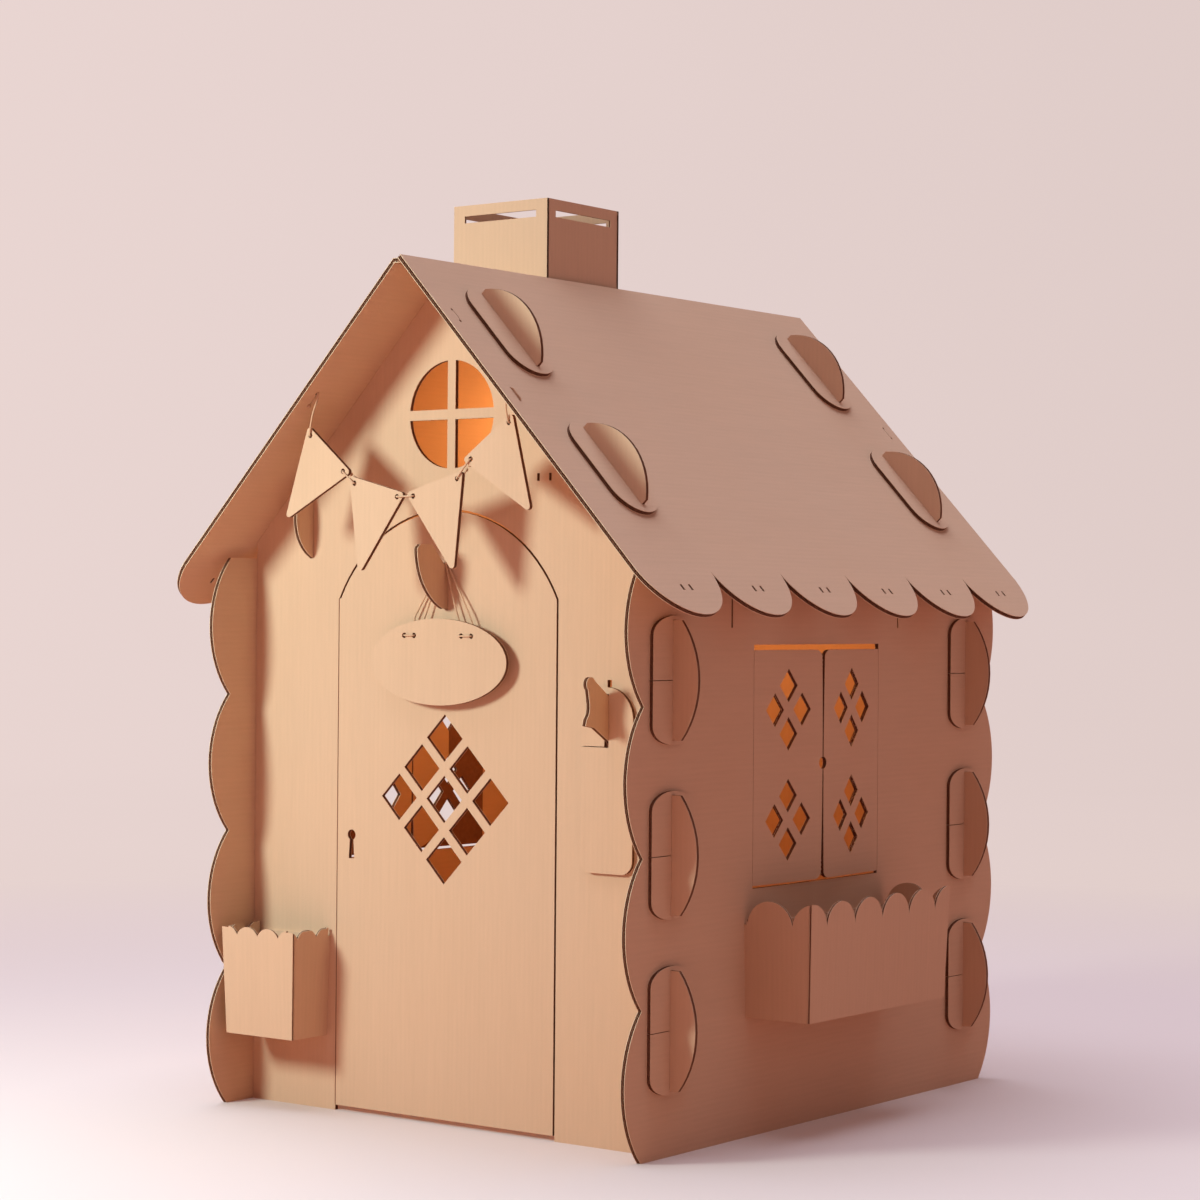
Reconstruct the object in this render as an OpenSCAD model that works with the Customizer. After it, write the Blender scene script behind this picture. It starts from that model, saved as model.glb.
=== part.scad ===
// Cardboard playhouse: die-cut corrugated boards that lock with half-moon
// tabs, slotted lock discs, fold lines and cord. Millimetres, +Z up, the front
// gable faces -Y. The origin is the centre of the overall box at floor level.

/* [Boards] */
// Thickness of the wall, roof, disc, hook and flag board
board_t = 7; // [6:0.5:8]
// Thickness of the lighter board of the chimney and planters
light_t = 4; // [3:0.5:5]
// Slack on each side of a board in its slot
slot_gap = 0.3; // [0.2:0.1:0.6]
// Gap left between two boards that meet edge to face
seat_gap = 0.3; // [0.2:0.1:0.4]

/* [House] */
// Width over the outer faces of the two side walls
house_w = 800; // [780:5:860]
// Length over the outer faces of the two gables
house_l = 836; // [820:4:900]
// Height of the side walls
wall_h = 846; // [830:2:900]
// Pitch of the right roof slope in degrees
roof_pitch = 47; // [45:0.5:49]
// Pitch of the left roof slope in degrees
left_pitch = 46.4; // [45:0.2:49]
// How much higher the left slope meets the ridge, because its strip lies on the gables
left_lift = 9; // [8:0.5:12]
// How far the straight part of a side wall runs past a gable
corner_run = 58; // [50:2:70]
// How far each rounded bump of a side wall's end stands past that
bump_depth = 40; // [30:2:46]
// Number of bumps up each end of a side wall
bump_count = 4; // [3:1:5]

/* [Roof] */
// Overhang of the roof past each gable
roof_overhang = 120; // [106:2:130]
// Slope length from the ridge to the notches between eave scallops
eave_notch = 630; // [620:2:660]
// Depth of the eave scallops
eave_scallop = 82; // [60:2:86]
// Number of scallops along each eave
eave_count = 6; // [5:1:7]
// Length of the two short slots in each scallop
eave_slot_l = 11; // [8:1:14]
// Width of those slots
eave_slot_w = 5; // [4:0.5:6]
// Centre distance of the two slots
eave_slot_gap = 20; // [16:1:26]
// Slope distance from the scallop notches to the slots' centre
eave_slot_in = 31; // [26:1:40]
// Slope distances of the curved slits near the gable edges
slit_at = [125, 287];
// Length of a curved slit between the middles of its round ends
slit_l = 24; // [22:1:30]
// Width of a curved slit
slit_w = 1.4; // [1.2:0.1:2]
// Radius of the round ends that the bunting's cord goes through
slit_end = 2.4; // [2.2:0.1:3]
// Distance of the curved slits from the roof's front and back edge
slit_edge = 28; // [24:1:34]

/* [Half-moon tabs] */
// Length of the gable tabs that pass through the side walls
wall_tab_l = 169; // [150:1:175]
// Height of the lowest wall tab's centre
wall_tab_foot = 179; // [170:1:200]
// Pitch of the wall tabs
wall_tab_pitch = 246; // [236:2:250]
// Number of wall tabs on each side of a gable
wall_tab_count = 3; // [2:1:3]
// Length of the gable tabs that pass through the roof
roof_tab_l = 153; // [130:1:160]
// Slope distances of the roof tabs' centres from the ridge
roof_tab_at = [151, 430];
// Straight part of a wall tab outside its disc
wall_tab_flat = 14; // [8:1:18]
// Rise of a wall tab's arc past the straight part
wall_tab_arc = 29; // [20:1:34]
// Straight part of a roof tab outside its disc
roof_tab_flat = 9; // [6:1:14]
// Rise of a roof tab's arc past the straight part
roof_tab_arc = 36; // [26:1:40]

/* [Lock discs] */
// Half width of a wall lock disc
wall_disc_w = 50; // [44:1:54]
// Half height of the rounded end of a wall lock disc
wall_disc_end = 27; // [22:1:30]
// Margin of a wall lock disc past the end of its tab
wall_disc_margin = 6; // [5:0.5:10]
// Half width of a roof lock disc
roof_disc_w = 48; // [42:1:52]
// Length of the rounded end of a roof lock disc
roof_disc_end = 44; // [36:1:48]
// Margin of a roof lock disc past the end of its tab
roof_disc_margin = 15; // [8:1:18]
// Width of the slit from a wall disc's rim to its slot
disc_slit = 1.2; // [1:0.1:2]

/* [Front door] */
// Width of the door leaf
door_w = 424; // [400:4:440]
// Height of the door's arch spring line
door_spring = 784; // [760:2:800]
// Rise of the door's arch
door_rise = 134; // [120:2:140]
// Sideways offset of the door from the gable's middle
door_off = -8; // [-12:1:12]
// Gap around the door leaf
door_kerf = 3.5; // [2:0.5:5]
// Gap under the door leaf
door_foot = 8; // [6:1:12]
// Width and depth of the door's scored fold line
score = [2, 0.4];
// Height of the middle of the diamond lattice
lattice_z = 485; // [470:1:500]
// Half width and half height of one diamond
diamond = [34.5, 35.5];
// Half steps of the lattice, sideways and up
lattice_step = [44, 45.7];
// Radius of the keyhole's round part
keyhole_r = 8; // [6:0.5:10]
// Distance of the keyhole from the fold line
keyhole_in = 29; // [24:1:40]
// Height of the keyhole's round part
keyhole_z = 423; // [400:1:440]

/* [Round window] */
// Radius of the round window
round_r = 81; // [70:1:86]
// Height of its centre
round_z = 1059; // [1050:1:1070]
// Width of its cross bars
round_bar = 15; // [12:0.5:20]

/* [Side windows] */
// Width of a side wall's window over both shutters
window_w = 351; // [340:1:370]
// Height of the window's sill
window_sill = 362; // [355:1:400]
// Height of the window opening
window_h = 358; // [350:1:370]
// Distance of the window's middle from the front gable's face
window_y = 392; // [380:1:420]
// Gap over the shutters
shutter_top = 8; // [6:0.5:12]
// Gap under the shutters
shutter_foot = 4; // [3:0.5:6]
// Gap between the shutters at their middle height
shutter_gap = 2; // [1.5:0.5:4]
// How much further each shutter's free edge bends back at its top and foot
shutter_bow = 3; // [1:0.5:5]
// Width and length of the upright slits under the eaves
eave_slit = [4, 42];
// Corner radius of the shutters at the gap
shutter_r = 18; // [12:1:24]
// Angle by which each shutter stands out at its fold
shutter_ajar = 3.3; // [2:0.1:5]
// Half width and half height of a shutter diamond
shutter_diamond = [22.5, 25.5];
// Offsets of the diamonds from their cluster's middle
shutter_step = [34, 36];
// Distance of the clusters from the window's middle height
cluster_up = 82; // [78:1:88]
// Radius of the finger hole between the shutters
finger_r = 9; // [7:0.5:11]

/* [Planters] */
// Window planter: length, depth and height
window_bin = [396, 118, 172];
// Window planter: height of its bottom
window_bin_z = 176; // [150:1:180]
// Window planter: scallop pitch and depth
window_scallop = [77.5, 36];
// Door planter: depth and height
door_bin = [85, 166];
// Door planter: height of its bottom
door_bin_z = 113; // [100:1:140]
// Door planter: scallop pitch and depth
door_scallop = [42.5, 13];
// Gap from the door planter to the side wall and to the door's fold line
door_bin_gap = 12.5; // [10:0.5:16]
// How much each side of a planter leans in to the bottom
bin_taper = 6; // [3:0.5:8]
// Length of the tongues that hang a planter in the wall
tongue_l = 34; // [24:1:40]
// How far a tongue reaches past the wall's inner face
tongue_out = 14; // [10:1:20]

/* [Chimney] */
// Width of the square chimney
chimney_w = 188; // [170:2:200]
// Distance of the chimney's front from the front gable's face
chimney_y = 243; // [230:1:280]
// Distance of the chimney's side from the ridge line
chimney_in = 11; // [11:0.5:16]
// Height of the chimney's top
chimney_top = 1412; // [1400:2:1440]
// Margin of the chimney slots at each end
chimney_slot_in = 22; // [18:1:30]
// Height of the chimney slots
chimney_slot_h = 11; // [8:1:14]
// Distance of the slots from the chimney's top
chimney_slot_z = 17; // [14:1:24]

/* [Hooks, sign and plate] */
// Height of the door hook's seat
door_hook_z = 835; // [830:1:850]
// Height of the barbed hook's seat
side_hook_z = 645; // [630:1:660]
// Distance of the barbed hook from the gable's middle
side_hook_x = 297; // [290:1:305]
// Distance of the half-moon peg from the gable's middle
peg_x = 278; // [270:1:290]
// Height of the half-moon peg's middle
peg_z = 905; // [900:1:910]
// Length of the half-moon peg along the wall
peg_l = 118; // [100:1:124]
// How far the half-moon peg stands out
peg_out = 38; // [30:1:42]
// Half width and half height of the oval sign
sign_size = [131, 64.5];
// Height of the sign's middle
sign_z = 690; // [684:1:692]
// Distance of the sign's back from the wall
sign_off = 12; // [12:0.5:14]
// Width of the arched hook plate
plate_w = 93; // [86:1:98]
// Height of the arched hook plate
plate_h = 266; // [256:1:272]
// Height of its lower edge
plate_z = 393; // [388:1:400]
// Radius of its lower corners
plate_r = 20; // [14:1:24]

/* [Bunting] */
// Upper edge and height of a flag
flag_size = [112, 139];
// Corner radius of a flag
flag_r = 5; // [4:0.5:7]
// Radius of the cord holes in flags and sign
cord_hole_r = 4; // [3.5:0.25:4.5]
// Distance of a flag's holes from its corners
flag_hole_in = 13; // [12:0.5:15]
// Diameter of the cord
cord_d = 3; // [2.5:0.25:3]

/* [Hidden] */

big = 2000;
half_w = house_w / 2;
rise = tan(roof_pitch);
under_z = wall_h + half_w * rise;                 // roof undersides meet here
apex_z = under_z + board_t / cos(roof_pitch);     // top of the right slope
left_rise = tan(left_pitch);
left_apex = apex_z + left_lift;                   // the left slope at the middle
left_under = left_apex - board_t / cos(left_pitch);
fold_z = apex_z - board_t * cos(roof_pitch) - seat_gap;   // top of the folded strip
ridge_fold = (left_apex - fold_z) / left_rise;    // width of that strip
gable_top = fold_z - board_t - seat_gap;          // gables end under the strip
bump_pitch = wall_h / bump_count;
roof_len = house_l + 2 * roof_overhang;
eave_pitch = roof_len / eave_count;
wall_tabs = [for (i = [0:wall_tab_count - 1]) wall_tab_foot + i * wall_tab_pitch];
door_x = door_off - door_w / 2;                   // the door's fold line
door_r = (pow(door_w / 2, 2) + pow(door_rise, 2)) / (2 * door_rise);
door_bin_l = half_w - board_t + door_x - 2 * door_bin_gap;
door_bin_x = door_x - door_bin_gap - door_bin_l / 2;
window_top = window_sill + window_h;
shutter_w = (window_w - shutter_gap) / 2;
chimney_right = -chimney_in;
eave_x = (eave_notch + eave_scallop) * cos(left_pitch);
right_reach = half_w + window_bin[1];             // the window planter's face
middle_x = (right_reach - eave_x) / 2;            // centre of the overall box
side_plate_x = side_hook_x;
flag_y = -(roof_overhang - slit_edge);            // plane of the bunting
slit_r = 40;                                      // bend of the curved slits
slit_drop = slit_r - sqrt(pow(slit_r, 2) - pow(slit_l / 2, 2));
row_stub = 8;                                     // overlap of an arc row and its board
hook_l = 66;                                      // height of a hook in its slot
hook_head = 26;                                   // depth of its head inside
head_over = 12;                                   // rise of the head over the slot's ends
peg_over = 6;                                     // the same for the half-moon peg
plate_hole = 24;                                  // slot left over the barbed hook
sign_hole = 55;                                   // half distance of the hole pairs
hole_pair = 19;                                   // centre distance in a pair
sign_hole_up = 39;                                // holes over the sign's middle
hole_v = flag_r + 3.5;                            // flag holes under its upper edge
board_colour = [0.86, 0.66, 0.47];
shade_colour = [0.80, 0.59, 0.41];
cord_colour = [0.80, 0.63, 0.46];

// Flat shapes

// Radius of an arc with chord l and rise h
function arc_r(l, h) = (l * l / 4 + h * h) / (2 * h);

// Half-moon tab on the x axis: straight sides, then an arc
module half_moon(l, flat, arc) intersection() {
    translate([0, flat + arc - arc_r(l, arc)]) circle(arc_r(l, arc), $fn = 96);
    translate([-l / 2, 0]) square([l, flat + arc + 1]);
}

// Row of n arcs of pitch p and rise h above the x axis, with a stub below it
module arc_row(n, p, h) intersection() {
    for (i = [0:n - 1]) translate([(i + 0.5) * p, h - arc_r(p, h)])
        circle(arc_r(p, h), $fn = 96);
    translate([0, -row_stub]) square([n * p, row_stub + h + 1]);
}

module rhomb(a, b) polygon([[-a, 0], [0, -b], [a, 0], [0, b]]);

// Disc with straight sides and half-elliptic ends, long side along y
function disc_rim(w, l, e, n = 16) = concat(
    [for (i = [0:n]) let (a = 180 * i / n) [w * cos(a), l - e + e * sin(a)]],
    [for (i = [0:n]) let (a = 180 + 180 * i / n) [w * cos(a), e - l + e * sin(a)]]);

module lock_disc(w, l, e, slot_l, slit) {
    difference() {
        polygon(disc_rim(w, l, e));
        square([board_t + 2 * slot_gap, slot_l + 2 * slot_gap], center = true);
        if (slit > 0)
            translate([-w - 1, -slit / 2]) square([w + 1, slit]);
    }
}

// Frames: a flat shape put on a gable, a side wall or a roof slope

// x and z of the gable, board reaching back from y
module on_gable(y, t = board_t)
    translate([0, y + t, 0]) rotate([90, 0, 0]) linear_extrude(t) children();

// y and z of the right side wall, board reaching out from x
module on_side(x, t = board_t)
    translate([x, 0, 0]) rotate([90, 0, 90]) linear_extrude(t) children();

// slope distance and y of a slope, board reaching out from height h; the left
// slope is drawn on the right side and then mirrored
module on_slope(h, t = board_t, left = false)
    translate([0, 0, left ? left_apex : apex_z])
        rotate([0, left ? left_pitch : roof_pitch, 0]) translate([0, 0, h])
            linear_extrude(t) children();

module mirrored(on) { if (on) mirror([1, 0, 0]) children(); else children(); }

// Gables

module gable_outline() {
    w = half_w - board_t - seat_gap;
    right = (under_z - seat_gap / cos(roof_pitch) - gable_top) / rise;
    left = (left_under - seat_gap / cos(left_pitch) - gable_top) / left_rise;
    polygon([[-w, 0], [w, 0], [w, gable_top - (w - right) * rise],
        [right, gable_top], [-left, gable_top], [-w, gable_top - (w - left) * left_rise]]);
    for (s = [0, 1]) mirror([s, 0]) {
        for (z = wall_tabs) translate([w - 0.5, z]) rotate(-90)
            half_moon(wall_tab_l, seat_gap + 0.5 + 2 * board_t + wall_tab_flat, wall_tab_arc);
        for (d = roof_tab_at) translate([0, [apex_z, left_apex][s]])
            rotate(-[roof_pitch, left_pitch][s])
            translate([d, -board_t - seat_gap - 0.5])
                half_moon(roof_tab_l, seat_gap + 0.5 + 2 * board_t + roof_tab_flat, roof_tab_arc);
    }
}

module door_arch(w, grow) {
    translate([0, door_spring + door_rise - door_r]) intersection() {
        circle(door_r + grow, $fn = 96);
        translate([-w / 2, door_r - door_rise - 1]) square([w, door_rise + grow + 1]);
    }
    translate([-w / 2, -1]) square([w, door_spring + 1]);
}

module door_cuts() {
    // the gap over, beside and under the leaf, which stays on its fold line
    translate([door_off, 0]) difference() {
        door_arch(door_w, 0);
        intersection() {
            door_arch(door_w, -door_kerf);
            translate([-door_w, door_foot]) square([1.5 * door_w - door_kerf, big]);
        }
    }
    translate([door_off, lattice_z]) for (i = [-1:1], j = [-1:1])
        translate([(i - j) * lattice_step[0], (i + j) * lattice_step[1]])
            rhomb(diamond[0], diamond[1]);
    translate([door_x + keyhole_in, keyhole_z]) {
        circle(keyhole_r, $fn = 32);
        polygon([[-keyhole_r * 0.4, 0], [keyhole_r * 0.4, 0],
            [keyhole_r * 0.7, -4.5 * keyhole_r], [-keyhole_r * 0.7, -4.5 * keyhole_r]]);
    }
}

module round_window()
    translate([0, round_z]) difference() {
        circle(round_r, $fn = 72);
        square([round_bar, 2 * round_r + 2], center = true);
        square([2 * round_r + 2, round_bar], center = true);
    }

// Slot for an upright board of thickness t, from z0 to z1
module upright_slot(x, z0, z1, t = board_t)
    translate([x - t / 2 - slot_gap, z0 - slot_gap])
        square([t + 2 * slot_gap, z1 - z0 + 2 * slot_gap]);

module front_wall()
    color(board_colour) difference() {
        on_gable(0) difference() {
            gable_outline();
            door_cuts();
            round_window();
            upright_slot(door_off, door_hook_z - hook_l, door_hook_z);
            upright_slot(side_hook_x, side_hook_z - hook_l, side_hook_z + plate_hole);
            upright_slot(-peg_x, peg_z - peg_l / 2, peg_z + peg_l / 2);
            for (i = [-1, 1]) translate([door_bin_x + i * door_bin_l / 4, 0])
                tongue_slot(door_bin_z + door_bin[1] - door_scallop[1]);
            for (x = [165, 187]) translate([x, 962]) square([5, 11], center = true);
        }
        // scored fold line of the door
        translate([door_x - score[0] / 2, -1, door_foot])
            cube([score[0], 1 + score[1], door_spring - door_foot]);
    }

module back_wall()
    color(shade_colour) on_gable(house_l - board_t) gable_outline();

// Side walls, drawn as the right one and mirrored for the left

module side_outline() {
    run = corner_run - row_stub / 2;
    translate([-run, 0]) square([house_l + 2 * run, wall_h]);
    translate([-corner_run, 0]) rotate(90) arc_row(bump_count, bump_pitch, bump_depth);
    translate([house_l + corner_run, wall_h]) rotate(-90)
        arc_row(bump_count, bump_pitch, bump_depth);
}

module tab_slot(y, z) translate([y, z])
    square([board_t + 2 * slot_gap, wall_tab_l + 2 * slot_gap], center = true);

module shutter() {
    mid = (window_sill + window_top) / 2;
    bow_r = arc_r(window_h, shutter_bow);
    difference() {
        intersection() {
            translate([-2, window_sill + shutter_foot])
                square([shutter_w + 2, window_h - shutter_top - shutter_foot]);
            union() {
                translate([-3, 0]) square([shutter_w + 3 - shutter_r, big]);
                translate([-3, window_sill + shutter_foot + shutter_r])
                    square([shutter_w + 3, window_h - shutter_top - shutter_foot - 2 * shutter_r]);
                for (z = [window_sill + shutter_foot + shutter_r,
                        window_top - shutter_top - shutter_r])
                    translate([shutter_w - shutter_r, z]) circle(shutter_r, $fn = 48);
            }
            translate([shutter_w - bow_r, mid]) circle(bow_r, $fn = 240);
        }
        for (s = [-1, 1], k = [[1, 0], [-1, 0], [0, 1], [0, -1]])
            translate([shutter_w / 2 + k[0] * shutter_step[0],
                    mid + s * cluster_up + k[1] * shutter_step[1]])
                rhomb(shutter_diamond[0], shutter_diamond[1]);
        translate([shutter_w, mid]) circle(finger_r, $fn = 32);
    }
}

module shutter_pair(x) for (s = [0, 1])
    translate([0, window_y, 0]) mirror([0, s, 0]) translate([0, -window_w / 2, 0])
        intersection() {
            translate([x, 0, 0]) rotate([0, 0, -shutter_ajar]) on_side(0) shutter();
            translate([x, -5, 0]) cube([80, window_w, big]);
        }

module side_wall(bin) {
    x = half_w - board_t;
    on_side(x) difference() {
        side_outline();
        for (y = [board_t / 2, house_l - board_t / 2], z = wall_tabs) tab_slot(y, z);
        translate([window_y - window_w / 2, window_sill]) square([window_w, window_h]);
        for (s = [-1, 1]) translate([window_y + s * (window_w / 2 + 58), wall_h - 80])
            square(eave_slit, center = true);
        if (bin) for (i = [-1, 1]) translate([window_y + i * window_bin[0] / 4, 0])
            tongue_slot(window_bin_z + window_bin[2] - window_scallop[1]);
    }
    shutter_pair(x);
}

module left_wall() color(board_colour) mirror([1, 0, 0]) side_wall(false);
module right_wall() color(shade_colour) side_wall(true);

// Roof

module curved_slit(d, y) translate([d, y - slit_drop]) {
    intersection() {
        translate([0, slit_drop - slit_r]) difference() {
            circle(slit_r + slit_w / 2, $fn = 96);
            circle(slit_r - slit_w / 2, $fn = 96);
        }
        square([slit_l, 4 * slit_drop], center = true);
    }
    for (s = [-1, 1]) translate([s * slit_l / 2, 0]) circle(slit_end, $fn = 24);
}

module slope_outline(from, slits) {
    difference() {
        union() {
            translate([from, -roof_overhang])
                square([eave_notch - row_stub / 2 - from, roof_len]);
            translate([eave_notch, house_l + roof_overhang]) rotate(-90)
                arc_row(eave_count, eave_pitch, eave_scallop);
        }
        for (y = [board_t / 2, house_l - board_t / 2], d = roof_tab_at) translate([d, y])
            square([roof_tab_l + 2 * slot_gap, board_t + 2 * slot_gap], center = true);
        for (i = [0:eave_count - 1], s = [-1, 1])
            translate([eave_notch + eave_slot_in,
                    -roof_overhang + (i + 0.5) * eave_pitch + s * eave_slot_gap / 2])
                square([eave_slot_l, eave_slot_w], center = true);
        for (d = slits) {
            curved_slit(d, flag_y);
            translate([0, house_l]) mirror([0, 1]) curved_slit(d, flag_y);
        }
    }
}

module right_roof() color(shade_colour) on_slope(-board_t) slope_outline(0, slit_at);

// The strip along the ridge is folded flat and ends under the right slope
module left_roof() color(board_colour) difference() {
    union() {
        mirror([1, 0, 0]) on_slope(-board_t, left = true)
            slope_outline(ridge_fold / cos(left_pitch), [slit_at[1]]);
        translate([0, house_l + roof_overhang - 0.2, 0]) rotate([90, 0, 0])
            linear_extrude(roof_len - 0.4) polygon([
                [-ridge_fold, fold_z],
                [(under_z - fold_z) / rise - seat_gap, fold_z],
                [(under_z - fold_z + board_t) / rise - seat_gap, fold_z - board_t],
                [-(left_under - fold_z + board_t) / left_rise, fold_z - board_t]]);
    }
    for (y = [chimney_y + light_t / 2, chimney_y + chimney_w - light_t / 2])
        translate([chimney_right - chimney_w / 2 - tongue_l / 2 - slot_gap,
                y - light_t / 2 - slot_gap, wall_h])
            cube([tongue_l + 2 * slot_gap, light_t + 2 * slot_gap, big]);
}

// Chimney: a square sleeve cut to the left slope, with two tongues

module chimney() color(board_colour) {
    x0 = chimney_right - chimney_w;
    y1 = chimney_y + chimney_w;
    seat = left_apex + seat_gap / cos(left_pitch);
    difference() {
        translate([x0, chimney_y, 0]) cube([chimney_w, chimney_w, chimney_top]);
        translate([x0 + light_t, chimney_y + light_t, -1])
            cube([chimney_w - 2 * light_t, chimney_w - 2 * light_t, big]);
        translate([0, y1 + 1, 0]) rotate([90, 0, 0]) linear_extrude(chimney_w + 2)
            polygon([[-big, -1], [0, -1], [0, seat], [-big, seat - big * left_rise]]);
        z = chimney_top - chimney_slot_z - chimney_slot_h;
        l = chimney_w - 2 * chimney_slot_in;
        translate([x0 + chimney_slot_in, chimney_y - 1, z]) cube([l, chimney_w + 2, chimney_slot_h]);
        translate([x0 - 1, chimney_y + chimney_slot_in, z]) cube([chimney_w + 2, l, chimney_slot_h]);
    }
    for (y = [chimney_y, y1 - light_t]) {
        xc = chimney_right - chimney_w / 2;
        translate([0, y + light_t, 0]) rotate([90, 0, 0]) linear_extrude(light_t)
            polygon([for (k = [[-1, 2], [1, 2], [1, -1], [-1, -1]])
                let (x = xc + k[0] * tongue_l / 2)
                [x, seat + x * left_rise
                    + (k[1] > 0 ? 2 : -(board_t + tongue_out) / cos(left_pitch))]]);
    }
}

// Planters: tapered open boxes with a row of scallops that turns the corners

module tongue_slot(z)
    translate([-tongue_l / 2 - slot_gap, z - 30 - light_t - slot_gap])
        square([tongue_l + 2 * slot_gap, light_t + 2 * slot_gap]);

// Tapered solid: length along x, depth along -y from the wall at y = 0
module bin_form(s, inset, foot) {
    l = s[0] / 2 - inset;
    d = s[1] - inset;
    intersection() {
        translate([0, -inset, 0]) rotate([90, 0, 0]) linear_extrude(big)
            polygon([[-l + bin_taper, foot], [l - bin_taper, foot], [l, s[2]], [-l, s[2]]]);
        translate([-big / 2, 0, 0]) rotate([90, 0, 90]) linear_extrude(big)
            polygon([[-inset, foot], [-inset, s[2]], [-d, s[2]], [-d + bin_taper, foot]]);
    }
}

// Outline with arcs of pitch p on top, notches at the centre and every p
module scallop_edge(l, h, p, depth, first) {
    r = (p * p / 4 + depth * depth) / (2 * depth);
    square([l, h - depth]);
    intersection() {
        for (i = [-1:ceil(l / p)])
            translate([first + (i + 0.5) * p, h - r]) circle(r, $fn = 64);
        translate([0, h - depth - 0.5]) square([l, depth + 1]);
    }
}

module planter_bin(s, sc) {
    p = sc[0];
    n = floor(s[0] / 2 / p);
    wrap = s[0] / 2 - n * p;                      // part of a scallop left at the corner
    difference() {
        bin_form([s[0], s[1], s[2]], 0, 0);
        bin_form([s[0], s[1], s[2] + 1], light_t, light_t);
        // scalloped front
        translate([0, -light_t * 2 - 1, 0]) rotate([90, 0, 0]) linear_extrude(big) difference() {
            translate([-big / 2, s[2] - sc[1]]) square([big, big]);
            translate([-s[0] / 2 - p, 0]) scallop_edge(s[0] + 2 * p, s[2], p, sc[1], p + wrap - p);
        }
        // straight back
        translate([-big / 2, -light_t - 0.5, s[2] - sc[1]]) cube([big, big, big]);
        for (m = [0, 1]) mirror([m, 0, 0])
            translate([s[0] / 2 - bin_taper - 2 * light_t, 0, 0]) rotate([90, 0, 90])
                linear_extrude(big) difference() {
                    translate([-big, s[2] - sc[1]]) square([2 * big, big]);
                    translate([-s[1] - p, 0]) scallop_edge(s[1] + 2 * p, s[2], p, sc[1], p - wrap);
                }
    }
    for (i = [-1, 1])
        translate([i * s[0] / 4 - tongue_l / 2, -light_t / 2, s[2] - sc[1] - 30 - light_t])
            cube([tongue_l, light_t / 2 + board_t + tongue_out, light_t]);
}

module door_planter() color(board_colour)
    translate([door_bin_x, 0, door_bin_z])
        planter_bin([door_bin_l, door_bin[0], door_bin[1]], door_scallop);

module window_planter() color(shade_colour)
    translate([half_w, window_y, window_bin_z]) rotate([0, 0, 90])
        planter_bin(window_bin, window_scallop);

// Hooks: flat boards that stand in upright slots, with a head inside the wall

// Board in the y-z plane centred on x
module upright(x, t = board_t)
    translate([x - t / 2, 0, 0]) rotate([90, 0, 90]) linear_extrude(t) children();

// Neck and head, from z = -l to z = 0
module hook_root(l, over = head_over) {
    translate([-1, -l]) square([board_t + 3, l]);
    translate([board_t + seat_gap, -l - over]) square([hook_head, l + 2 * over]);
}

// Seat at z = 0, lower end at -hook_l, nose up and out
module door_hook_shape() {
    difference() {
        intersection() {
            translate([26, 23]) circle(96, $fn = 96);
            translate([-72, -hook_l]) square([72, hook_l + 29]);
        }
        // seat for the cord
        polygon([[-8, 0], [-38, 30], [1, 30], [1, 0]]);
        translate([-69.5, 29]) rotate(45) square([8, 8], center = true);
    }
    hook_root(hook_l);
}

module barbed_hook_shape() {
    difference() {
        union() {
            translate([-49, 19]) circle(10, $fn = 40);
            polygon([[-57.5, 24], [-51, -10], [-61, -40], [-40, -43],
                [0, -hook_l], [0, 0], [-9, 3], [-40.5, 24]]);
        }
        // the nose's hollow outer side
        translate([-72, -15]) circle(21, $fn = 48);
    }
    hook_root(hook_l);
}

module door_hook() color(board_colour)
    upright(door_off) translate([0, door_hook_z]) door_hook_shape();

module barbed_hook() color(board_colour)
    upright(side_hook_x) translate([0, side_hook_z]) barbed_hook_shape();

module half_moon_peg() color(board_colour)
    upright(-peg_x) translate([0, peg_z + peg_l / 2]) {
        translate([1, -peg_l / 2]) rotate(90) half_moon(peg_l, 1, peg_out);
        hook_root(peg_l, peg_over);
    }

module hook_plate() color(board_colour) on_gable(-board_t) difference() {
    translate([side_plate_x, plate_z]) {
        translate([0, plate_h - plate_w / 2]) circle(plate_w / 2, $fn = 64);
        translate([-plate_w / 2, plate_r]) square([plate_w, plate_h - plate_w / 2 - plate_r]);
        translate([-plate_w / 2 + plate_r, 0]) square([plate_w - 2 * plate_r, 2 * plate_r]);
        for (s = [-1, 1]) translate([s * (plate_w / 2 - plate_r), plate_r])
            circle(plate_r, $fn = 40);
    }
    upright_slot(side_hook_x, side_hook_z - hook_l - 6, side_hook_z + 4);
    // slit from the edge to the slot
    translate([side_hook_x - plate_w / 2 - 1, side_hook_z - hook_l - 6])
        square([plate_w / 2, disc_slit]);
}

// Sign and bunting

module door_sign() color(board_colour) on_gable(-sign_off - board_t) difference() {
    translate([door_off, sign_z]) polygon([for (i = [0:71])
        [sign_size[0] * cos(5 * i), sign_size[1] * sin(5 * i)]]);
    for (s = [-1, 1], k = [-1, 1])
        translate([door_off + s * sign_hole + k * hole_pair / 2, sign_z + sign_hole_up])
            circle(cord_hole_r, $fn = 24);
}

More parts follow.
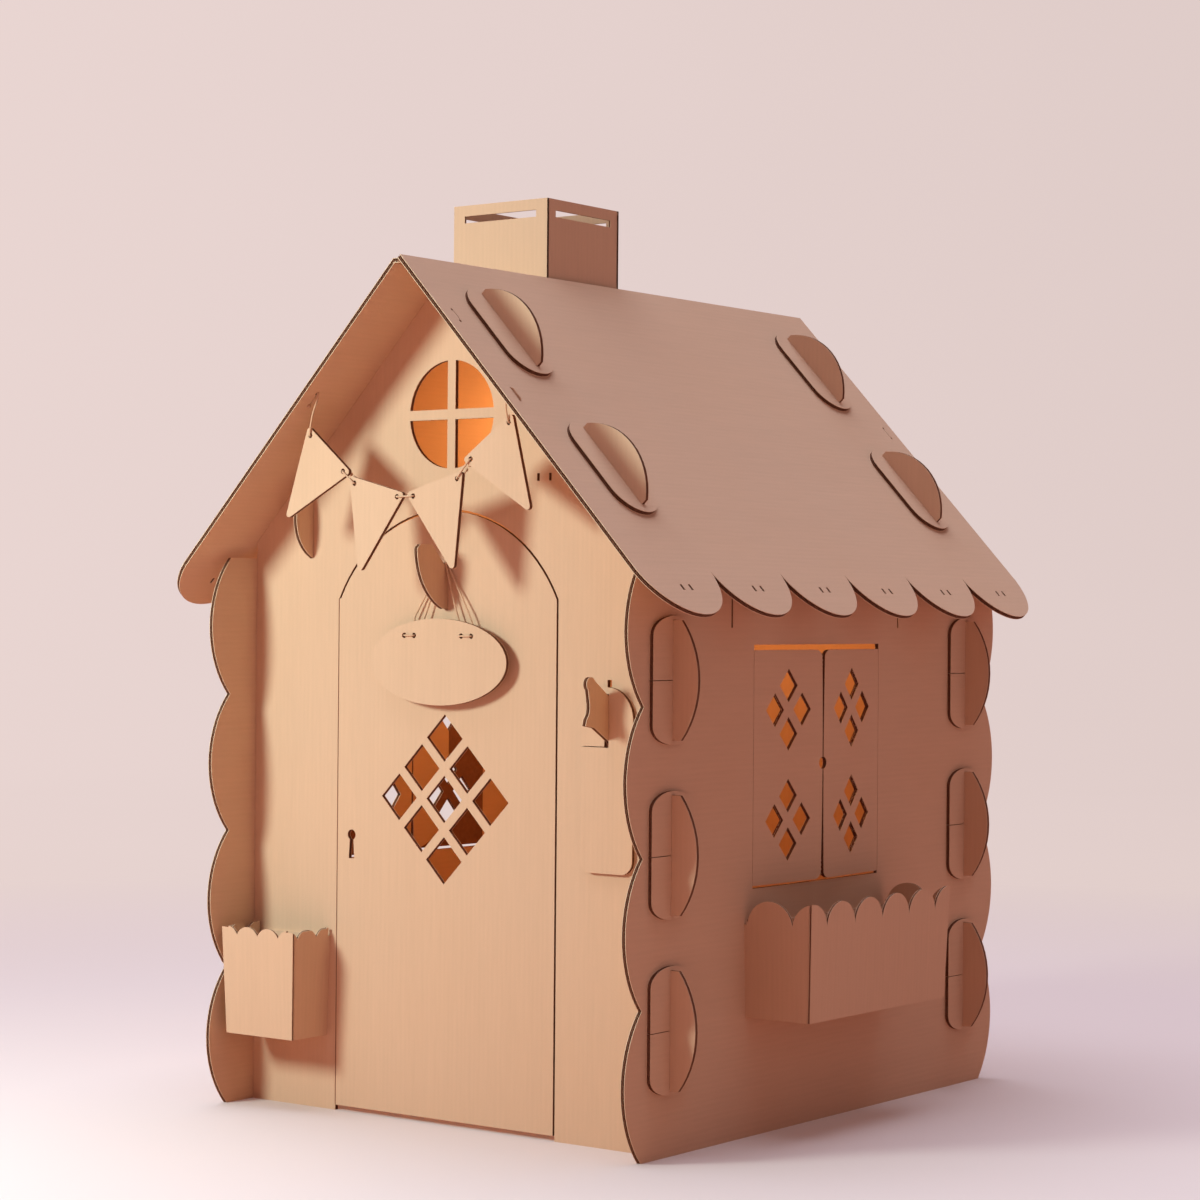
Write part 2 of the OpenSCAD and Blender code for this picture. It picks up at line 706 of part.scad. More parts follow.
// Round cord along points: one ring of 8 sides at each point
function unit(v) = v / norm(v);
function cord_dir(p, i) = unit(p[min(i + 1, len(p) - 1)] - p[max(i - 1, 0)]);
function flatten_to(n, t) = unit(n - (n * t) * t);
module cord(p, d = cord_d, k = 8) {
    m = len(p);
    n0 = flatten_to([0.31, 0.27, 0.91], cord_dir(p, 0));
    ns = [for (i = 0, n = n0; i < m; i = i + 1,
            n = i < m ? flatten_to(n, cord_dir(p, i)) : n) n];
    pts = [for (i = [0:m - 1]) let (b = cross(cord_dir(p, i), ns[i]))
        for (j = [0:k - 1]) p[i] + d / 2 * (cos(360 * j / k) * ns[i] + sin(360 * j / k) * b)];
    faces = concat([[for (j = [0:k - 1]) j]],
        [for (i = [0:m - 2], j = [0:k - 1]) let (a = i * k, b = (j + 1) % k)
            [a + j, a + k + j, a + k + b, a + b]],
        [[for (j = [k - 1:-1:0]) (m - 1) * k + j]]);
    polyhedron(pts, faces);
}

// Doubled loop: through both holes of a pair, up over the hook and down
module sign_cord() color(cord_colour) translate([door_off, 0, 0]) {
    y1 = -sign_off + cord_d / 2 + 0.3;
    y0 = -sign_off - board_t - cord_d / 2 - 0.3;
    h = sign_z + sign_hole_up;
    a = -sign_hole - hole_pair / 2;
    b = -sign_hole + hole_pair / 2;
    top = door_hook_z + cord_d / 2 + 0.5;
    x = board_t / 2 + cord_d / 2 + 0.4;
    cord([[a + 8, y1 + 0.6, h + 12], [a + 1, y1, h + 3], [a - 0.5, y1 - 3, h], [a, y0 + 3, h], [a + 3, y0, h],
        [b - 3, y0, h], [b, y0 + 3, h], [b + 0.5, y1 - 3, h], [b + 1, y1, h + 3], [b + 16, y1 + 0.5, h + 34],
        [-x - 1, -6, top - 8], [-x + 0.2, -6, top - 1], [-2, -6, top], [2, -6, top],
        [x - 0.2, -6, top - 1], [x + 1, -6, top - 8], [-b - 16, y1 + 0.5, h + 34],
        [-b - 1, y1, h + 3], [-b - 0.5, y1 - 3, h], [-b, y0 + 3, h], [-b - 3, y0, h], [-a - 3, y0, h],
        [-a, y0 + 3, h], [-a + 0.5, y1 - 3, h], [-a + 0.5, y1, h + 3], [-a - 12, y1 - 0.2, h + 34],
        [x + 5, -3, top - 10], [x + 0.4, -2.2, top - 1], [2, -2.2, top + 0.2], [-2, -2.2, top + 0.2],
        [-x - 0.4, -2.2, top - 1], [-x - 5, -3, top - 10], [a + 14, y1 + 3.6, h + 34], [a + 9, y1 + 3.4, h + 20]]);
}

// Flags hang as isosceles triangles from their left corner, turned by a
flags = [[-200, 1043, -40], [-117, 966, -14.5], [-7, 938, 16], [100, 984, 36]];

function flag_point(i, u, v) = [
    flags[i][0] + u * cos(flags[i][2]) + v * sin(flags[i][2]), flag_y,
    flags[i][1] + u * sin(flags[i][2]) - v * cos(flags[i][2])];

module flag(i) color(board_colour)
    on_gable(flag_y - board_t / 2) translate([flags[i][0], flags[i][1]])
        rotate(flags[i][2]) difference() {
            rounded_flag();
            for (x = [flag_hole_in, flag_size[0] - flag_hole_in])
                translate([x, -hole_v]) circle(cord_hole_r, $fn = 24);
        }

// Triangle whose corners are arcs of radius flag_r
function arc_points(c, a0, a1, n = 8) =
    [for (k = [0:n]) let (a = a0 + (a1 - a0) * k / n) c + flag_r * [cos(a), sin(a)]];

module rounded_flag() {
    w = flag_size[0];
    h = flag_size[1];
    slope = atan2(h, w / 2);
    in = flag_r / tan(slope / 2);                 // corner to arc centre, along the top
    low = flag_r / cos(slope);                    // tip to arc centre
    polygon(concat(
        arc_points([in, -flag_r], 90, 270 - slope),
        arc_points([w / 2, low - h], 270 - slope, 270 + slope),
        arc_points([w - in, -flag_r], 270 + slope, 450)));
}

// Tie between two flags: a loop through both holes, knotted behind
module tie_between(i) color(cord_colour) {
    a = flag_point(i, flag_size[0] - flag_hole_in, hole_v);
    b = flag_point(i + 1, flag_hole_in, hole_v);
    o = board_t / 2 + cord_d / 2 + 0.3;
    m = (a + b) / 2;
    f = [0, -o, 0];
    d = unit(b - a) * 2.2;
    cord([m - d * 0.8 - f + [0, 1, 2.5], a + d - f, a - f / 2, a + f / 2, a + d + f, m + f, b - d + f,
        b + f / 2, b - f / 2, b - d - f, m + d * 0.8 - f + [0, 1, 2.5]]);
}

// End tie: through the flag's hole and the curved slit of the roof
module tie_end(i, left) color(cord_colour) {
    s = left ? -1 : 1;
    a = flag_point(i, left ? flag_hole_in : flag_size[0] - flag_hole_in, hole_v);
    o = board_t / 2 + cord_d / 2 + 0.3;
    f = [0, -o, 0];
    d0 = slit_at[1] - slit_l / 2;
    d1 = slit_at[1] + slit_l / 2;
    pitch = left ? left_pitch : roof_pitch;
    q = function(d, h) [s * (d * cos(pitch) + h * sin(pitch)), flag_y - slit_drop,
        (left ? left_apex : apex_z) - d * sin(pitch) + h * cos(pitch)];
    up = board_t + 4;
    cord([a + [0, o + 0.8, 9], a - f + [0, 0, 2], a - f / 2, a + f / 2, a + f + [0, 0, 2],
        (a + q(d0, -up)) / 2 + f * 1.1, q(d0, -up), q(d0, -board_t / 2), q(d0 + 0.3, 0.6),
        q(d0 + 2.4, 2.3), q(slit_at[1], 2.3), q(d1 - 2.4, 2.3), q(d1 - 0.3, 0.6),
        q(d1, -board_t / 2), q(d1, -up)]);
}

// Placement

module wall_disc(back, left, i) color(left ? board_colour : shade_colour) mirrored(left)
    on_side(half_w) translate([back ? house_l - board_t / 2 : board_t / 2, wall_tabs[i]])
        lock_disc(wall_disc_w, wall_tab_l / 2 + wall_disc_margin, wall_disc_end,
            wall_tab_l, disc_slit);

module roof_disc(back, left, i) color(left ? board_colour : shade_colour) mirrored(left)
    on_slope(0, left = left) translate([roof_tab_at[i], back ? house_l - board_t / 2 : board_t / 2])
        rotate(90) lock_disc(roof_disc_w, roof_tab_l / 2 + roof_disc_margin, roof_disc_end,
            roof_tab_l, 0);

function side_name(back, left) = str(back ? "back_" : "front_", left ? "left_" : "right_");

translate([-middle_x, -house_l / 2, 0]) {
    front_wall();
    back_wall();
    left_wall();
    right_wall();
    left_roof();
    right_roof();
    chimney();
    door_planter();
    window_planter();
    door_hook();
    barbed_hook();
    half_moon_peg();
    hook_plate();
    door_sign();
    sign_cord();
    for (i = [0:3])
        flag(i);
    for (i = [0:2])
        tie_between(i);
    tie_end(0, true);  // tie_1
    tie_end(3, false);  // tie_5
    for (back = [false, true], left = [true, false], i = [0:wall_tab_count - 1])
        wall_disc(back, left, i);
    for (back = [false, true], left = [true, false], i = [0:1])
        roof_disc(back, left, i);
}
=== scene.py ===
"""Looks of the cardboard playhouse.

Every board is made again as corrugated board: paper liners with fluted paper
between them, cut to the outline of its solid, so that each cut edge shows the
flutes. Everything is in metres, +Z up, and the front gable faces -Y.
"""
import math

import bmesh
import bpy
from mathutils import Matrix, Vector


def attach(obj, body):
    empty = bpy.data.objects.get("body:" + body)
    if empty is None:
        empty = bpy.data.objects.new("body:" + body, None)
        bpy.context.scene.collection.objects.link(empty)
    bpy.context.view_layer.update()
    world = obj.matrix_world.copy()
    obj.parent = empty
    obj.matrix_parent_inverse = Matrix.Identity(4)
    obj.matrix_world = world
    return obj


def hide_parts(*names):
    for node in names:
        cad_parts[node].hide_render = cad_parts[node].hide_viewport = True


bl_info = {
    "name": "Cardboard playhouse",
    "version": (1, 0, 0),
    "blender": (4, 5, 0),
    "location": "View3D > Sidebar > Playhouse",
    "description": "Corrugated boards, cords, stage and light of a slot-together playhouse",
    "category": "Object",
}

MM = 0.001
BOX_SIDES = 4  # a piece with this many boards or more is folded into a box
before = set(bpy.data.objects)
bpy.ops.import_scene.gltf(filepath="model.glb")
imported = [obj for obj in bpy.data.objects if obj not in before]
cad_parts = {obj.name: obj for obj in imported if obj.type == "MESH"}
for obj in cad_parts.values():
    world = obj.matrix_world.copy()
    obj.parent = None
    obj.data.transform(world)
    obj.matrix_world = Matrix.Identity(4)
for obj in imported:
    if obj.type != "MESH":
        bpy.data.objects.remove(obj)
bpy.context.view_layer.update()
X, Y, Z = Vector((1, 0, 0)), Vector((0, 1, 0)), Vector((0, 0, 1))


# Sizes and colours that a user would change

class BoardSizes(bpy.types.PropertyGroup):
    """Build-up of the two kinds of corrugated board."""
    heavy: bpy.props.FloatProperty(
        name="Heavy board", description="Thickness of the double-wall board of walls and roof",
        default=7 * MM, unit="LENGTH")
    light: bpy.props.FloatProperty(
        name="Light board",
        description="Thickness of the single-wall board of planters and chimney",
        default=4 * MM, unit="LENGTH")
    liner: bpy.props.FloatProperty(
        name="Liner", description="Thickness of the outer papers",
        default=0.9 * MM, unit="LENGTH")
    middle: bpy.props.FloatProperty(
        name="Middle liner", description="Thickness of the paper between the two flutes",
        default=0.5 * MM, unit="LENGTH")
    medium: bpy.props.FloatProperty(
        name="Fluted paper", description="Thickness of the fluted paper",
        default=0.45 * MM, unit="LENGTH")
    coarse: bpy.props.FloatProperty(
        name="Coarse flute", description="Pitch of the flutes next to the outer face",
        default=8.4 * MM, unit="LENGTH")
    fine: bpy.props.FloatProperty(
        name="Fine flute", description="Pitch of the flutes next to the inner face",
        default=6.6 * MM, unit="LENGTH")


class PaperColours(bpy.types.PropertyGroup):
    """Colours of the papers and the cord."""
    liner: bpy.props.FloatVectorProperty(
        name="Liner", description="Kraft liner on the faces",
        default=(0.72, 0.475, 0.305), subtype="COLOR", min=0, max=1)
    edge: bpy.props.FloatVectorProperty(
        name="Cut liner", description="Pale cut edge of a liner",
        default=(0.78, 0.54, 0.35), subtype="COLOR", min=0, max=1)
    # dark brown: partly the fluted paper's own colour, partly painted shade of the hollows inside
    # the board
    flute: bpy.props.FloatVectorProperty(
        name="Fluted paper", description="Brown paper of the flutes",
        default=(0.24, 0.105, 0.055), subtype="COLOR", min=0, max=1)
    cord: bpy.props.FloatVectorProperty(
        name="Cord", description="Twisted paper cord",
        default=(0.70, 0.45, 0.28), subtype="COLOR", min=0, max=1)


class StageValues(bpy.types.PropertyGroup):
    """Camera, lamps and backdrop."""
    camera_place: bpy.props.FloatVectorProperty(
        name="Camera", description="Where the camera stands",
        default=(2.7239, -3.7213, 0.7653), subtype="XYZ", unit="LENGTH")
    camera_yaw: bpy.props.FloatProperty(
        name="Yaw", description="Turn of the view to the left of the house's length",
        default=math.radians(36.6625), subtype="ANGLE")
    camera_pitch: bpy.props.FloatProperty(
        name="Pitch", description="Upward tilt of the view",
        default=math.radians(0.2514), subtype="ANGLE")
    camera_roll: bpy.props.FloatProperty(
        name="Roll", description="Roll of the camera",
        default=math.radians(0.4576), subtype="ANGLE")
    lens: bpy.props.FloatProperty(
        name="Lens", description="Focal length for a 36 mm wide sensor, in millimetres",
        default=86.33)
    backdrop: bpy.props.FloatVectorProperty(
        name="Backdrop", description="Pale pink paper of the floor and the wall behind",
        default=(0.64, 0.32, 0.245), subtype="COLOR", min=0, max=1)
    background: bpy.props.FloatVectorProperty(
        name="Background", description="Even pale pink that the camera sees away from the shadow",
        default=(0.800, 0.655, 0.630), subtype="COLOR", min=0, max=1)
    lit_floor: bpy.props.FloatVectorProperty(
        name="Lit floor", description="Paper of the floor where the camera sees the lamps' light",
        default=(0.71, 0.575, 0.515), subtype="COLOR", min=0, max=1)
    shadow_depth: bpy.props.FloatProperty(
        name="Shadow depth",
        description="How much of the lamps' light the camera sees on the floor",
        default=0.92, min=0, max=1, subtype="FACTOR")
    key_power: bpy.props.FloatProperty(
        name="Key lamp", description="Power of the soft lamp at the front left, in watts",
        default=50)
    key_colour: bpy.props.FloatVectorProperty(
        name="Key colour", description="Colour of the key lamp",
        default=(0.76, 1.0, 1.0), subtype="COLOR", min=0, max=1)
    key_place: bpy.props.FloatVectorProperty(
        name="Key place", description="Where the key lamp hangs",
        default=(-0.95, -2.32, 1.43), subtype="XYZ", unit="LENGTH")
    top: bpy.props.FloatProperty(
        name="Top light", description="Strength of the wide light from above",
        default=3.3)
    top_colour: bpy.props.FloatVectorProperty(
        name="Top colour", description="Colour of the light from above",
        default=(0.66, 0.79, 1.0), subtype="COLOR", min=0, max=1)
    right: bpy.props.FloatProperty(
        name="Right light", description="Strength of the faint cool light from the right",
        default=0.27)
    right_colour: bpy.props.FloatVectorProperty(
        name="Right colour", description="Colour of the light from the right",
        default=(0.30, 0.80, 1.0), subtype="COLOR", min=0, max=1)
    glow_power: bpy.props.FloatProperty(
        name="Inner glow", description="Power of the warm light under the ridge, in watts",
        default=4.2)
    glow_colour: bpy.props.FloatVectorProperty(
        name="Glow colour", description="Colour of the warm light",
        default=(0.94, 0.50, 0.18), subtype="COLOR", min=0, max=1)
    sky: bpy.props.FloatVectorProperty(
        name="Room light", description="Colour of the light from all sides",
        default=(1.0, 0.42, 0.36), subtype="COLOR", min=0, max=1)
    sky_strength: bpy.props.FloatProperty(
        name="Room light strength", description="Strength of the light from all sides",
        default=0.275)


GROUPS = (BoardSizes, PaperColours, StageValues)


def board():
    return bpy.context.scene.playhouse_board


def colours():
    return bpy.context.scene.playhouse_colours


def stage():
    return bpy.context.scene.playhouse_stage


# Shader maths

class Sock:
    """A shader socket or a number on which Python's operators add Math nodes."""

    def __init__(self, tree, out):
        self.tree = tree
        self.out = out

    def math(self, operation, *others):
        n = self.tree.tree.nodes.new("ShaderNodeMath")
        n.operation = operation
        for i, v in enumerate((self,) + others):
            self.tree.put(n.inputs[i], v)
        return Sock(self.tree, n.outputs[0])

    def __add__(self, o):
        return self.math("ADD", o)

    def __radd__(self, o):
        return self.math("ADD", o)

    def __sub__(self, o):
        return self.math("SUBTRACT", o)

    def __rsub__(self, o):
        return Sock(self.tree, o).math("SUBTRACT", self)

    def __mul__(self, o):
        return self.math("MULTIPLY", o)

    def __truediv__(self, o):
        return self.math("DIVIDE", o)

    def clamp(self):
        return self.math("MAXIMUM", 0.0).math("MINIMUM", 1.0)


class Tree:
    """A new material whose nodes are added by node()."""

    def __init__(self, name):
        self.material = bpy.data.materials.new(name)
        self.material.use_nodes = True
        self.tree = self.material.node_tree
        self.tree.nodes.clear()

    def put(self, socket, value):
        if isinstance(value, Sock) and isinstance(value.out, bpy.types.NodeSocket):
            self.tree.links.new(value.out, socket)
            return
        value = value.out if isinstance(value, Sock) else value
        if socket.type == "RGBA" and len(value) == 3:
            value = (*value, 1)
        socket.default_value = value

    def node(self, kind, settings=None, out=0, stops=None, **inputs):
        """Adds a node of this kind, sets it up, fills its sockets and returns an output."""
        n = self.tree.nodes.new("ShaderNode" + kind)
        for k, v in (settings or {}).items():
            setattr(n, k, v)
        if stops:
            ramp = n.color_ramp
            ramp.elements[0].position, ramp.elements[1].position = stops[0][0], stops[-1][0]
            for place, _ in stops[1:-1]:
                ramp.elements.new(place)
            for e, (_, c) in zip(ramp.elements, stops):
                e.color = (*c, 1)
        for k, v in inputs.items():
            key = int(k[1:]) if k[0] == "i" and k[1:].isdigit() else k.replace("_", " ")
            self.put(n.inputs[key], v)
        return Sock(self, n.outputs[out])

    def mix(self, factor, a, b, blend="MIX"):
        settings = {"data_type": "RGBA", "blend_type": blend}
        return self.node("Mix", settings, out=2, i0=factor, i6=a, i7=b)

    def shade(self, colour, normal=None, roughness=0.9, specular=0.25):
        inputs = {"Base_Color": colour, "Roughness": roughness, "Specular_IOR_Level": specular}
        if normal is not None:
            inputs["Normal"] = normal
        surface = self.node("BsdfPrincipled", **inputs)
        self.node_out(surface)
        return self.material

    def node_out(self, surface):
        n = self.tree.nodes.new("ShaderNodeOutputMaterial")
        self.tree.links.new(surface.out, n.inputs["Surface"])


def scaled(rgb, k):
    return tuple(c * k for c in rgb)


def liner_paper():
    """Kraft liner: fibres, faint streaks along the flutes, mottling and washboard bump, with
    painted shade of the washboard ripples in its tone.
    """
    t = Tree("kraft_liner")
    base = tuple(colours().liner)
    at = t.node("UVMap", {"uv_map": "board"})
    across = t.node("SeparateXYZ", Vector=at)
    grain = t.node("Mapping", Vector=at, Scale=(1.0, 0.06, 1.0))
    streak = t.node("TexNoise", Vector=grain, Scale=170.0, Detail=3.0, Roughness=0.6)
    wide = t.node("TexNoise", Vector=grain, Scale=28.0, Detail=2.0, Roughness=0.5)
    cloud = t.node("TexNoise", Vector=at, Scale=4.5, Detail=4.0, Roughness=0.55)
    fibre = t.node("TexNoise", Vector=at, Scale=900.0, Detail=2.0, Roughness=0.7)
    speck = t.node("TexVoronoi", {"feature": "F1"}, Vector=at, Scale=420.0, Randomness=1.0)
    # ripples at the coarse flute pitch: a real bump, and a faint painted shade in the tone
    ripple_bump_and_shade = (across * (2 * math.pi / board().coarse)).math("SINE")
    tone = (0.94 + (streak - 0.5) * 0.09 + (wide - 0.5) * 0.05
            + (cloud - 0.5) * 0.11 + (fibre - 0.5) * 0.20 + ripple_bump_and_shade * 0.006)
    dots = (0.13 - speck).clamp() * 2.2 * (fibre * 1.4).clamp()
    tint = t.mix(cloud, scaled(base, 1.04), (base[0] * 0.95, base[1] * 0.91, base[2] * 0.87))
    tint = t.mix(dots, tint, scaled(base, 0.45))
    grey = t.node("CombineColor", Red=tone, Green=tone, Blue=tone)
    colour = t.mix(1.0, tint, grey, "MULTIPLY")
    height = fibre * 0.5 + streak * 0.35 + ripple_bump_and_shade * 0.25
    normal = t.node("Bump", Strength=0.22, Distance=0.0004, Height=height)
    return t.shade(colour, normal, roughness=(0.86 + fibre * 0.1))


def edge_paper():
    """Cut edge of a liner: paler and rougher than its face."""
    t = Tree("cut_liner")
    base = tuple(colours().edge)
    at = t.node("TexCoord", out=3)
    fluff = t.node("TexNoise", Vector=at, Scale=1400.0, Detail=2.0, Roughness=0.7)
    patch = t.node("TexNoise", Vector=at, Scale=60.0, Detail=2.0, Roughness=0.5)
    colour = t.mix((fluff * 0.6 + patch * 0.4).clamp(), scaled(base, 0.78), scaled(base, 1.08))
    normal = t.node("Bump", Strength=0.3, Distance=0.0003, Height=fluff)
    return t.shade(colour, normal, roughness=0.95)


def flute_paper_and_shade():
    """Fluted paper and the inner side of the liners, in a dark brown that is partly the paper's own
    colour and partly painted shade of the hollows inside the board.
    """
    t = Tree("fluted_paper_and_painted_shade")
    base = tuple(colours().flute)
    at = t.node("TexCoord", out=3)
    patch = t.node("TexNoise", Vector=at, Scale=120.0, Detail=3.0, Roughness=0.6)
    colour = t.mix(patch, scaled(base, 0.7), scaled(base, 1.25))
    normal = t.node("Bump", Strength=0.3, Distance=0.0003, Height=patch)
    return t.shade(colour, normal, roughness=0.95)


def cord_paper():
    """Twisted cord with dark grooves between its strands and loose fibres."""
    t = Tree("paper_cord")
    base = tuple(colours().cord)
    at = t.node("TexCoord", out=3)
    fibre = t.node("TexNoise", Vector=at, Scale=1500.0, Detail=3.0, Roughness=0.7)
    colour = t.mix(fibre, scaled(base, 0.65), scaled(base, 1.3))
    normal = t.node("Bump", Strength=0.5, Distance=0.0003, Height=fibre)
    return t.shade(colour, normal, roughness=0.95)


MAKERS = {"liner": liner_paper, "edge": edge_paper, "flute": flute_paper_and_shade, "cord": cord_paper}
made = {}


def paper(name):
    if name not in made:
        made[name] = MAKERS[name]()
    return made[name]


# Corrugated board

def object_of(name, bm):
    mesh = bpy.data.meshes.new(name)
    bm.to_mesh(mesh)
    bm.free()
    obj = bpy.data.objects.new(name, mesh)
    bpy.context.scene.collection.objects.link(obj)
    return obj


def solid_of(node):
    """The solid of a CAD node as one closed bmesh."""
    bm = bmesh.new()
    bm.from_mesh(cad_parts[node].data)
    bmesh.ops.remove_doubles(bm, verts=bm.verts[:], dist=2e-6)
    return bm


def box_at(middle, size):
    bm = bmesh.new()
    bmesh.ops.create_cube(bm, size=1)
    bmesh.ops.scale(bm, verts=bm.verts[:], vec=size)
    bmesh.ops.translate(bm, verts=bm.verts[:], vec=middle)
    return bm


def combined(a, b, operation):
    """Boolean of two bmeshes as a new bmesh. Both are used up."""
    first = object_of("first", a)
    second = object_of("second", b)
    cut = first.modifiers.new("cut", "BOOLEAN")
    cut.operation = operation
    cut.solver = "MANIFOLD"
    cut.object = second
    bpy.context.view_layer.update()
    result = first.evaluated_get(bpy.context.evaluated_depsgraph_get())
    bm = bmesh.new()
    bm.from_mesh(result.to_mesh())
    result.to_mesh_clear()
    for obj in (first, second):
        mesh = obj.data
        bpy.data.objects.remove(obj)
        bpy.data.meshes.remove(mesh)
    return bm


class Face:
    """One flat side of a board: its normal, the flutes' direction and its extent."""

    def __init__(self, bm, normal, along, thickness, tolerance=0.8):
        self.t = thickness
        limit = math.cos(math.radians(tolerance))
        faces = [f for f in bm.faces if f.normal.dot(normal) > limit]
        if not faces:
            raise RuntimeError(f"no flat side towards {tuple(normal)}")
        n = sum((f.normal * f.calc_area() for f in faces), Vector()).normalized()
        w = (along - n * along.dot(n)).normalized()
        u = w.cross(n)
        points = {v for f in faces for v in f.verts}
        top = max(v.co.dot(n) for v in points)
        self.low = [min(v.co.dot(a) for v in points) for a in (u, w)]
        self.high = [max(v.co.dot(a) for v in points) for a in (u, w)]
        self.matrix = Matrix((u, w, n)).transposed().to_4x4()
        self.matrix.translation = n * top
        self.inverse = self.matrix.inverted()

    def slab(self, v0, v1, grow):
        """Box over the whole side, from depth v0 to v1 (0 is the outer face)."""
        size = [self.high[i] - self.low[i] + 2 * grow for i in (0, 1)]
        middle = [(self.high[i] + self.low[i]) / 2 for i in (0, 1)]
        return box_at((*middle, (v0 + v1) / 2), (*size, v1 - v0))

    def flutes(self, v0, v1, pitch, grow):
        """Corrugated sheet between depths v0 and v1, with flutes along w."""
        paper_t = board().medium
        swing = (v1 - v0 - paper_t) / 2 - 0.02 * MM
        bm = bmesh.new()
        width = self.high[0] - self.low[0] + 2 * grow
        steps = max(8, math.ceil(width / pitch * 6))
        bmesh.ops.create_grid(bm, x_segments=steps, y_segments=1, size=0.5)
        bmesh.ops.scale(bm, verts=bm.verts[:],
                        vec=(width, self.high[1] - self.low[1] + 2 * grow, 1))
        middle = [(self.high[i] + self.low[i]) / 2 for i in (0, 1)]
        for v in bm.verts:
            v.co.x += middle[0]
            v.co.y += middle[1]
            v.co.z = (v0 + v1) / 2 + swing * math.cos(2 * math.pi * v.co.x / pitch)
        bmesh.ops.solidify(bm, geom=bm.faces[:], thickness=paper_t)
        bmesh.ops.recalc_face_normals(bm, faces=bm.faces[:])
        centre = (max(v.co.z for v in bm.verts) + min(v.co.z for v in bm.verts)) / 2
        bmesh.ops.translate(bm, verts=bm.verts[:], vec=(0, 0, (v0 + v1) / 2 - centre))
        return bm

    def layers(self, grow):
        """Liners and fluted papers of the whole side, as one bmesh of separate sheets."""
        b = board()
        over = 1 * MM
        parts = [self.slab(-b.liner, over, grow),
                 self.slab(-self.t - over, b.liner - self.t, grow)]
        if self.t > 5.5 * MM:
            mid = -b.liner - (self.t - 2 * b.liner - b.middle) * 0.56
            parts.append(self.slab(mid - b.middle, mid, grow))
            parts.append(self.flutes(mid, -b.liner, b.coarse, grow))
            parts.append(self.flutes(b.liner - self.t, mid - b.middle, b.fine, grow))
        else:
            parts.append(self.flutes(b.liner - self.t, -b.liner, b.fine, grow))
        return merged(parts, self.matrix)

    def block(self, grow=0.0, over=0.0):
        return merged([self.slab(-self.t - over, over, grow)], self.matrix)


def merged(parts, matrix=None):
    """Several bmeshes as one, placed by matrix. They are used up."""
    bm = bmesh.new()
    for part in parts:
        mesh = bpy.data.meshes.new("part")
        part.to_mesh(mesh)
        part.free()
        bm.from_mesh(mesh)
        bpy.data.meshes.remove(mesh)
    if matrix is not None:
        bmesh.ops.transform(bm, matrix=matrix, verts=bm.verts[:])
    return bm


def dressed(name, bm, faces, offset):
    """Gives the papers their materials and a UV map in metres, and makes the object."""
    uv = bm.loops.layers.uv.new("board")
    sides = [(f, f.matrix.to_3x3().col[2].copy()) for f in faces]
    b = board()
    for poly in bm.faces:
        poly.smooth = False
        middle = poly.calc_center_median()
        best = None
        for side, n in sides:
            p = side.inverse @ middle
            outside = max(side.low[0] - p.x, p.x - side.high[0],
                          side.low[1] - p.y, p.y - side.high[1],
                          p.z, -side.t - p.z, 0)
            if best is None or outside < best[0]:
                best = (outside, side, n, p)
        _, side, n, p = best
        flat = abs(poly.normal.dot(n)) > 0.9
        skin = 0.1 * MM
        # the inner sides of the liners, the floors of score lines and the fluted papers take the
        # dark fluted-paper colour, partly painted shade of the hollows
        if flat and (p.z > -0.6 * MM or p.z < skin - side.t):
            poly.material_index = 0
        elif p.z > -b.liner - skin or p.z < b.liner + skin - side.t:
            poly.material_index = 2 if flat else 1
        else:
            poly.material_index = 2
        for loop in poly.loops:
            q = side.inverse @ loop.vert.co
            loop[uv].uv = (q.x + offset, q.y + 0.37 * offset)
    obj = object_of(name, bm)
    for kind in ("liner", "edge", "flute"):
        obj.data.materials.append(paper(kind))
    return obj


def fold_board(node, sides, thickness, keep=False, grooves=()):
    """Corrugated board in the place of a node.

    sides are pairs of an outward direction and the direction of the flutes. The first
    side's board gives way to the others, and keep leaves what no side covers solid.
    grooves are the middles and sizes of score lines pressed into the liner at a fold.
    """
    solid = solid_of(node)
    for middle, size in grooves:
        solid = combined(solid, box_at(middle, size), "DIFFERENCE")
    faces = [Face(solid, n.normalized(), w, thickness) for n, w in sides]
    boxed = len(faces) >= BOX_SIDES
    parts = []
    for i, face in enumerate(faces):
        grow = 20 * MM if i == 0 and not boxed else 0.0
        piece = combined(solid.copy(), face.layers(grow), "INTERSECT")
        for other in faces[:i] if boxed else (faces[1:] if i == 0 else []):
            piece = combined(piece, other.block(0.0, 0.05 * MM), "DIFFERENCE")
        parts.append(piece)
    if keep:
        rest = solid.copy()
        for face in faces:
            rest = combined(rest, face.block(0.1 * MM, 0.1 * MM), "DIFFERENCE")
        parts.append(rest)
    solid.free()
    index = sorted(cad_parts).index(node)
    obj = dressed(f"{node}_board", merged(parts), faces, 0.731 * index)
    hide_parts(node)
    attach(obj, "root")
    return obj


def slope(sign):
    """Upward normal of the left (-1) or right (1) roof slope."""
    solid = solid_of("right_roof" if sign > 0 else "left_roof")
    best = max((f for f in solid.faces if f.normal.z > 0.3 and abs(f.normal.x) > 0.3),
               key=lambda f: f.calc_area())
    n = best.normal.copy()
    solid.free()
    return n


def nodes_like(start):
    return [n for n in sorted(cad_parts) if n.startswith(start)]


# Operators

